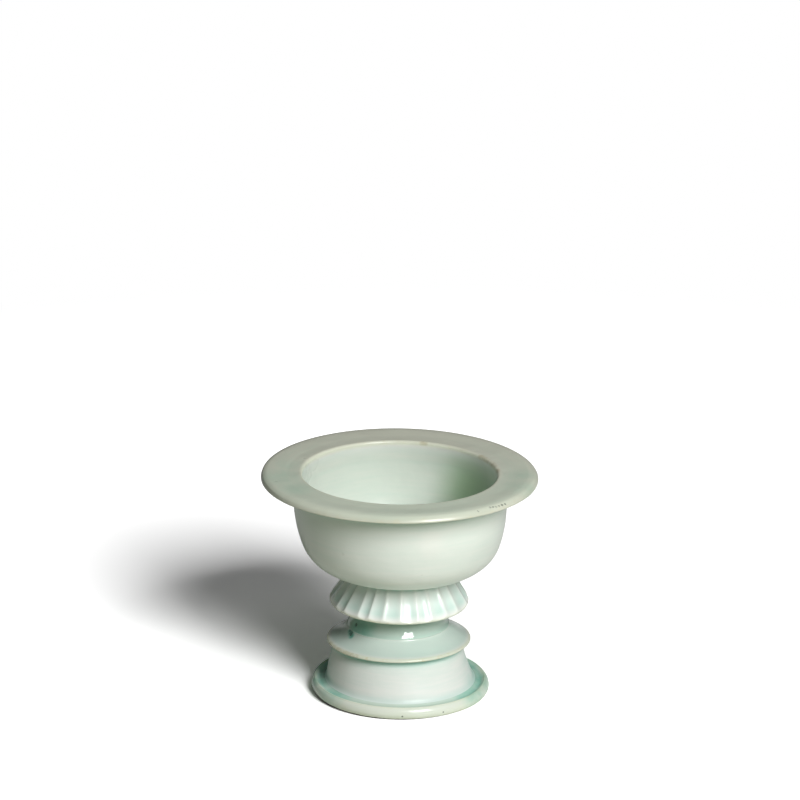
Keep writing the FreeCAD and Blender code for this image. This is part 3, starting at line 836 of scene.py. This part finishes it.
SLEEVE = 19.8
bowl_seam_radius, bowl_seam_height = seam["bowl"]
bowl_shoulder = bowl_seam_radius - STEP_IN
fluted_collar = throw(
    "fluted_collar_glazed",
    collar_rows + bare_rows((bowl_shoulder, bowl_seam_height - HALF_SLIP), (20.2, neck_high),
                            (SLEEVE, neck_high - 0.4), (SLEEVE, sleeve_foot)),
    turns=collar_turns, carve=carve_flutes)

# %% [markdown]
# ## Bowl and rim
# The bowl is one wall of even thickness from its flat base to the mouth, and the broad rim is
# turned out flat above it. Inside and outside are both glazed. The rim's top sags by a hair
# towards its middle, which keeps its reflections from looking machine-made.

# %% Throw the bowl and the rim
TONGUE_SIDE = 0.6


def mouth_joint(side):
    """Corners across the joint at the mouth, from outside to inside, above (1) or below (-1)."""
    outer, inner = BOWL_MOUTH - TONGUE_SIDE, BOWL_MOUTH_INSIDE + TONGUE_SIDE
    level = rim_joint + side * HALF_SLIP
    return [(outer, rim_joint), (outer, level), (inner, level), (inner, rim_joint)]


bowl = throw(
    "bowl_glazed",
    bare_rows((0.0, bowl_low), (NECK_BORE - 1.0, bowl_low), (bowl_shoulder, bowl_low),
              (bowl_shoulder, bowl_seam_height))
    + skin_rows("bowl", "rim_flange") + bare_rows(*mouth_joint(-1))
    + skin_rows("bowl_inside"),
    closed=False)

rim_flange = throw(
    "rim_flange_glazed",
    skin_rows("rim_flange", "bowl_inside") + bare_rows(*reversed(mouth_joint(1))))

# %% [markdown]
# ## Slip in the joints
# The slip that lutes two sections is squeezed out when they are pressed together. Outside it is
# sponged off and glazed over; inside the hollow foot it is left as a small rounded bead. Under
# the rim and round the head of the neck it stays between the sections.

# %% Lay the slip rings
BEAD = 0.28
BEAD_WIDTH = BEAD * 1.5
BEAD_TURNS = np.linspace(70, 290, 9)


def lay_slip(name, outer, height, bore):
    """A thin ring between two sections with a bead where it meets the hollow."""
    above, below = height + HALF_SLIP, height - HALF_SLIP
    bead = [(bore + BEAD_WIDTH * math.cos(math.radians(turn)),
             height + (HALF_SLIP + BEAD) * math.sin(math.radians(turn))) for turn in BEAD_TURNS]
    return throw(name, bare_rows((outer, below), (outer, above), (bore + 0.1, above), *bead,
                                 (bore + 0.1, below)))


slips = {
    "foot_slip": lay_slip("foot_slip_ring", *shoulders["foot_drum"], FOOT_BORE),
    "disc_slip": lay_slip("disc_slip_ring", *shoulders["stem_disc"], DRUM_BORE),
    "neck_slip": lay_slip("neck_slip_ring", *shoulders["stem_neck"], NECK_BORE),
    "bowl_slip": lay_slip("bowl_slip_ring", bowl_shoulder, (neck_high + bowl_low) / 2, NECK_BORE),
    "collar_slip": throw("collar_slip_ring", bare_rows(
        (NECK + 0.02, sleeve_foot), (SLEEVE - 0.02, sleeve_foot),
        (SLEEVE - 0.02, neck_high - 0.05), (NECK + 0.02, neck_high - 0.05))),
    "rim_slip": throw("rim_slip_ring", bare_rows(
        mouth_joint(-1)[2], mouth_joint(-1)[1], mouth_joint(1)[1], mouth_joint(1)[2])),
}

# %% [markdown]
# ## Glaze
# The glaze is clear blue-green glass over a white body. Light passes through it twice, so the
# body's colour is dimmed by a factor for each unit of thickness, less in green than in red and
# blue: thin glaze looks cream, thick glaze looks aqua. The thickness comes from the number stored
# on the mesh, with soft clouds where the dip was uneven. The surface has the faint rings of
# throwing under the glaze, a gentle waviness, and a few pinholes and specks where the photograph
# shows them.

# %% Look for marks on the surface
def specks(bench, place, marks, core=0.5):
    """A share from 0 to 1 that is high within each mark: x, y, z and size in millimetres."""
    total = None
    for x, y, z, size in marks:
        spot = 1.0 - bench.distance(place, (x, y, z)).between(size * core, size)
        total = spot if total is None else total.sum("MAXIMUM", spot)
    return total


def up_to_rim(on_top, amount):
    """One amount, or a pair that changes from below the rim's edge to the rim's top."""
    if not isinstance(amount, tuple):
        return amount
    low, high = amount
    return low + on_top * (high - low)

# %% [markdown]
# ## Where the glaze ends
# The potter wiped the glaze off the ring that stands on the table, or the censer would have stuck
# to the kiln's shelf. The bare clay is pale and gritty, warmer where the flame reached it. Along
# the glaze's edge it is painted almost black: a painted shadow that draws the thin dark line under
# the foot.

# %% Mix the bare clay
CLAY_PALE = (0.72, 0.68, 0.60, 1.0)
CLAY_WARM = (0.60, 0.50, 0.38, 1.0)
CLAY_GRIT = (0.50, 0.44, 0.36, 1.0)
CLAY_PAINTED_SHADOW = (0.03, 0.025, 0.02, 1.0)
PAINTED_SHADOW_BAND = (-1.3, -0.95)


def bare_clay(bench, place, edge, grain):
    """The colour of unglazed clay; edge is the distance above the glaze's edge in millimetres."""
    flash = bench.noise(place, 60.0, 3.0).between(0.35, 0.65)
    clay = bench.mix(flash, CLAY_PALE, CLAY_WARM)
    clay = bench.mix(grain.between(0.3, 0.7) * 0.35, clay, CLAY_GRIT)
    # Painted shadow: the clay next to the glaze's edge turns almost black, as the shadow under the
    # foot's bevel.
    return bench.mix(edge.between(*PAINTED_SHADOW_BAND) * 0.95, clay, CLAY_PAINTED_SHADOW)


print("the glaze ends %.2f mm out from the foot's inner edge" % GLAZE_STARTS)

# %% [markdown]
# ## One recipe, seven glazes
# All sections were dipped in the same glaze, but it ran off some and lay thick on others. One
# recipe with a few dials therefore serves all: how thick and how glossy it is, how much it
# wanders, and lists of places where it pooled, caught rust or kept a pinhole. Some dials and
# lists paint light and shade into the colour instead: painted shade greys the front of the foot's
# gutter, darkens the bowl's inside and turns the side of it that the lamp misses more olive, dulls
# the back of the rim and darkens the drum's left and right edges, and a painted highlight pales
# the front of the belly.

# %% Mix the glaze
BODY = (0.90, 0.885, 0.855)
CREAM = (0.81, 0.835, 0.68)
DIMMING = (0.145, 0.055, 0.072)
BUFF = (0.66, 0.61, 0.40, 1.0)
RUST = (0.42, 0.36, 0.20, 1.0)
PINHOLE = (0.03, 0.045, 0.035, 1.0)
LEE_SHADE_TINT = (0.44, 0.60, 0.40)
INSIDE_SHADE = (0.09, 0.07, 0.11)
GUTTER_SHADE_LOSS = (0.12, 0.21, 0.24)
RIM_TOP = (98.8, 101.6)
FILM = 0.12
COAT = 0.9
POOLED = 4.2
CLAY_GLOSS = 0.8
RING_DEPTH = 0.05
GRAIN_DEPTH = 0.10
GLASS_IOR = 1.5


def mix_glaze(name, thickness=1.0, gloss=0.14, cream=0.2, tone=1.0, streaks=0.3, rings=0.5,
              stain=0.3, waves=0.30, edge_shade=0.0, run=0.0, pools=(), pool_depth=1.0,
              painted_highlights=(), painted_lee_shade=(), dark_marks=(), rust_marks=(), painted_back_shade=0.0,
              painted_gutter_shade=0.0):
    """Build the glaze's material in four parts: thickness, colour, marks and surface."""
    bench = Bench(name)
    place = bench.place()
    hollow = bench.reading("glaze_depth")
    edge = bench.reading("glaze_edge")
    x, y, z = bench.axes(place)
    reach = (x * x + y * y) ** 0.5
    wheel = bench.add("ShaderNodeCombineXYZ", {}, [reach, z, (x + y) * 0.10]).outputs[0]
    clouds = bench.noise(place, 42.0, 3.0, 0.55)
    dip = bench.noise(place, 14.0, 1.0)
    thrown_rings = bench.noise(wheel, 430.0, 3.0, 0.6)
    on_top = (z * TO_MM).between(*RIM_TOP)

    depth = (FILM + COAT * hollow + POOLED * hollow ** 4.0) * up_to_rim(on_top, thickness)
    depth = depth * (0.72 + 0.56 * clouds) + (dip - 0.5) * 0.9 + (thrown_rings - 0.5) * streaks
    if run:
        depth = depth - y * on_top * run
    if pools:
        blot = bench.noise(place, 120.0, 3.0, 0.6).between(0.25, 0.7)
        depth = depth + specks(bench, place, pools, 0.1) * (0.5 + 0.9 * blot) * pool_depth
    # Painted highlight: the glaze is made thinner, so paler, where the softbox's soft highlight
    # lies.
    if painted_highlights:
        depth = depth * (1.0 - 0.45 * specks(bench, place, painted_highlights, 0.2))
    depth = depth.sum("MAXIMUM", 0.02)

    thin = 1.0 - hollow.between(0.02, 0.40)
    warm = thin * (0.45 + 0.7 * clouds)
    warm = (warm + (1.0 - warm) * up_to_rim(on_top, cream)).clamp()
    # A tone for each section; the disc's and neck's tones below one are partly painted shade from
    # the bowl and collar above them.
    tone_and_painted_shade = up_to_rim(on_top, tone)
    channels = [(white + (buff - white) * warm) * (math.exp(-dimming) ** depth) * tone_and_painted_shade
                for white, buff, dimming in zip(BODY, CREAM, DIMMING)]
    if edge_shade:
        rubbed = thin * (reach * TO_MM).between(54.0, 58.0) * (0.5 + clouds)
        channels = [value * (1.0 - edge_shade * rubbed) for value in channels]
    # Painted shade: the inside of the bowl is darkened, and turned olive and darker still on the
    # side that the lamp misses.
    if painted_lee_shade:
        inner = bench.reading("glaze_inside")
        lee_shade = (specks(bench, place, painted_lee_shade, 0.2) * inner * (0.8 + 0.4 * clouds)).clamp()
        channels = [value * (lee_shade * (tint - 1.0) + 1.0) * (1.0 - shade * inner)
                    for value, tint, shade in zip(channels, LEE_SHADE_TINT, INSIDE_SHADE)]
    # Painted shade: the hollow at the front of the foot's gutter is darkened and greyed.
    if painted_gutter_shade:
        gutter_shade = hollow.between(0.6, 0.85) * (y * -TO_MM).between(20.0, 33.0) * painted_gutter_shade
        channels = [value * (1.0 - gutter_shade * loss) for value, loss in zip(channels, GUTTER_SHADE_LOSS)]
    # Painted shade: the top of the rim is darkened towards the back.
    if painted_back_shade:
        back_shade = 1.0 - (y * TO_MM).between(-5.0, 48.0) * on_top * painted_back_shade
        channels = [value * back_shade for value in channels]
    colour = bench.colour(*channels)

    roughness = gloss + 0.025 + (clouds - 0.5) * 0.06
    if stain:
        flecks = bench.noise(place, 230.0, 4.0, 0.65).between(0.50, 0.66)
        edges = (1.0 - hollow.between(0.04, 0.30)) * (0.25 + 0.75 * clouds.between(0.35, 0.65))
        colour = bench.mix(flecks * edges * stain, colour, BUFF)
    if rust_marks:
        patchy = bench.noise(place, 420.0, 2.0).between(0.25, 0.6)
        rust = specks(bench, place, rust_marks, 0.4) * thin * patchy
        colour = bench.mix(rust * 0.45, colour, RUST)
    if dark_marks:
        ragged = bench.noise(place, 1500.0, 2.0).between(0.36, 0.50)
        dark = specks(bench, place, dark_marks) * ragged
        colour = bench.mix(dark * 0.85, colour, PINHOLE)
        roughness = roughness + dark * 0.4

    clay_grain = bench.noise(place, 1400.0, 3.0, 0.7)
    bare = 1.0 - (edge + (bench.noise(place, 220.0, 3.0) - 0.5) * 0.7).between(-0.15, 0.15)
    colour = bench.mix(bare, colour, bare_clay(bench, place, edge, clay_grain))
    roughness = roughness * (1.0 - bare) + CLAY_GLOSS * bare
    wavy = bench.bump(bench.noise(place, 95.0, 2.0), waves)
    thrown = bench.bump(thrown_rings, RING_DEPTH * rings, wavy)
    glass = bench.add("ShaderNodeBsdfPrincipled", {}, {
        "Base Color": colour, "Roughness": roughness, "IOR": GLASS_IOR,
        "Normal": bench.bump(clay_grain * bare, GRAIN_DEPTH, thrown)})
    return bench.finish(glass.outputs[0])


print("a flat coat is %.2f thick, a full pool %.2f" % (FILM + COAT * FLAT, FILM + COAT + POOLED))

# %% Place the marks: x, y, z and size in millimetres
LIP_PITS = ((38.6, -45.5, 101.1, 0.7), (39.9, -44.5, 101.0, 0.55), (41.2, -43.6, 100.9, 0.7),
            (42.5, -42.6, 100.75, 0.55), (43.8, -41.2, 100.7, 0.7), (45.2, -39.8, 100.7, 0.6),
            (33.4, -49.6, 100.95, 0.6))
INNER_RUST = ((10.6, 41.4, 100.6, 2.6), (36.0, 22.8, 100.6, 3.0), (38.1, 19.1, 100.3, 4.0),
              (41.1, 12.2, 100.7, 5.0), (42.9, 3.8, 100.9, 4.0))
RIM_POOLS = ((-53.0, -8.0, 101.7, 15.0), (-45.0, -24.0, 101.7, 12.0), (54.0, -4.0, 101.7, 10.0),
             (54.0, -20.0, 101.7, 12.0), (-48.0, 8.0, 101.7, 10.0))
# Painted shade: the part of the bowl's inside that the lamp misses.
LEE_SIDE = ((33.0, 25.0, 80.0, 28.5),)
# Painted highlight on the front of the belly.
BELLY_HIGHLIGHT = ((13.5, -45.0, 84.0, 9.0),)
# A small glaze pool by the dark spot, and a large pool that is painted shade on the neck's left
# under the collar.
NECK_POOLS_AND_SHADE = ((-19.5, -10.9, 33.9, 2.6), (-17.5, -13.5, 35.5, 11.0))
NECK_SPOTS = ((-19.5, -10.9, 33.9, 1.1),)
DISC_POOLS = ((-22.1, -9.6, 30.9, 2.2), (-21.9, -11.2, 30.4, 2.5), (-21.6, -13.0, 29.7, 2.2))
DISC_SPOTS = ((-22.0, -10.2, 30.7, 1.5), (-21.8, -11.8, 30.1, 1.5))
DISC_RUST = ((-30.1, -11.0, 25.4, 4.0), (-27.4, -16.9, 25.3, 5.0), (-24.2, -21.4, 25.2, 4.5),
             (-20.7, -25.0, 24.9, 3.5))
# Painted shade: thicker, darker glaze on the drum's left and right edges as seen from the front.
DRUM_EDGE_SHADE = ((36.0, 3.0, 5.0, 24.0), (-35.0, 4.0, 6.0, 26.0))
GUTTER_POOLS = ((36.2, -1.0, 4.0, 17.0), (33.0, 15.0, 4.0, 16.0), (31.0, -18.0, 4.0, 12.0),
                (-34.0, 13.5, 5.0, 18.0), (-36.3, -3.0, 5.0, 14.0), (-27.6, -20.5, 5.0, 11.0),
                (0.0, 36.0, 5.0, 30.0), (-42.0, -24.0, 1.5, 17.0), (42.0, -2.0, 6.0, 12.0))
FOOT_SPECKS = ((19.0, -34.8, 2.2, 0.5), (1.0, -39.5, 2.0, 0.5), (-24.0, -31.2, 1.2, 0.5))
print(len(LIP_PITS), "pits on the lip,", len(FOOT_SPECKS), "specks on the foot")

# %% Glaze the seven sections
glazes = {
    "rim_flange": mix_glaze("rim_glaze", (1.1, 0.75), 0.26, (0.15, 0.9), (0.985, 1.05),
                            streaks=1.0, stain=0.2, edge_shade=0.22, run=9.0, pools=RIM_POOLS,
                            pool_depth=0.7, painted_lee_shade=LEE_SIDE, dark_marks=LIP_PITS,
                            rust_marks=INNER_RUST, painted_back_shade=0.14),
    "bowl": mix_glaze("bowl_glaze", 1.1, 0.26, 0.15, 0.985, streaks=1.0, stain=0.1,
                      painted_highlights=BELLY_HIGHLIGHT, painted_lee_shade=LEE_SIDE),
    "fluted_collar": mix_glaze("collar_glaze", 1.2, 0.16, 0.0, 1.05, streaks=0.2, stain=0.5,
                               waves=0.08),
    # The neck's and disc's low tones are partly painted shade.
    "stem_neck": mix_glaze("neck_glaze", 2.4, 0.01, 0.3, 0.88, rings=0.1, stain=0.0,
                           pools=NECK_POOLS_AND_SHADE, pool_depth=4.2, dark_marks=NECK_SPOTS),
    "stem_disc": mix_glaze("disc_glaze", 2.2, 0.20, 0.2, 0.90, stain=0.9, pools=DISC_POOLS,
                           pool_depth=8.0, rust_marks=DISC_RUST, dark_marks=DISC_SPOTS),
    "foot_drum": mix_glaze("drum_glaze", 1.0, 0.38, 0.0, 0.96, streaks=1.6, rings=0.9, stain=0.0,
                           pools=DRUM_EDGE_SHADE, pool_depth=2.2),
    "foot_flange": mix_glaze("foot_glaze", 1.3, 0.18, 0.3, 0.97, pools=GUTTER_POOLS,
                             pool_depth=3.6, dark_marks=FOOT_SPECKS, painted_gutter_shade=1.0),
}
print("glazes:", ", ".join(sorted(glazes)))

# %% [markdown]
# ## Fired slip
# The slip is the same clay as the body, fired without glaze: matt, pale and a little gritty, and
# warmer where the kiln's flame reached into the hollow foot.

# %% Mix the fired slip
SLIP_PALE = (0.74, 0.69, 0.60, 1.0)
SLIP_WARM = (0.62, 0.50, 0.38, 1.0)
SLIP_GRIT = (0.50, 0.45, 0.38, 1.0)


def mix_slip():
    bench = Bench("fired_slip")
    place = bench.place()
    grain = bench.noise(place, 1600.0, 3.0, 0.7)
    flash = bench.noise(place, 80.0, 2.0).between(0.35, 0.65)
    colour = bench.mix(flash, SLIP_PALE, SLIP_WARM)
    colour = bench.mix(grain.between(0.3, 0.7) * 0.3, colour, SLIP_GRIT)
    clay = bench.add("ShaderNodeBsdfPrincipled", {}, {
        "Base Color": colour, "Roughness": 0.72 + grain * 0.2, "Normal": bench.bump(grain, 0.12)})
    return bench.finish(clay.outputs[0])


slip_finish = mix_slip()
print("slip:", slip_finish.name)

# %% [markdown]
# ## Into the frame
# The seams of a real censer can't be seen, but its sections can still be taken apart here: every
# section and every ring of slip stands in for its own solid and stays on the one body.

# %% Give every piece its finish and its place in the frame
sections = {
    "rim_flange": rim_flange, "bowl": bowl, "fluted_collar": fluted_collar, "stem_neck": stem_neck,
    "stem_disc": stem_disc, "foot_drum": foot_drum, "foot_flange": foot_flange,
}
for node, piece in sections.items():
    piece.data.materials.append(glazes[node])
    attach(piece, "root")
    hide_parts(node)
for node, piece in slips.items():
    piece.data.materials.append(slip_finish)
    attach(piece, "root")
    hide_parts(node)
print(len(sections), "sections and", len(slips), "rings of slip")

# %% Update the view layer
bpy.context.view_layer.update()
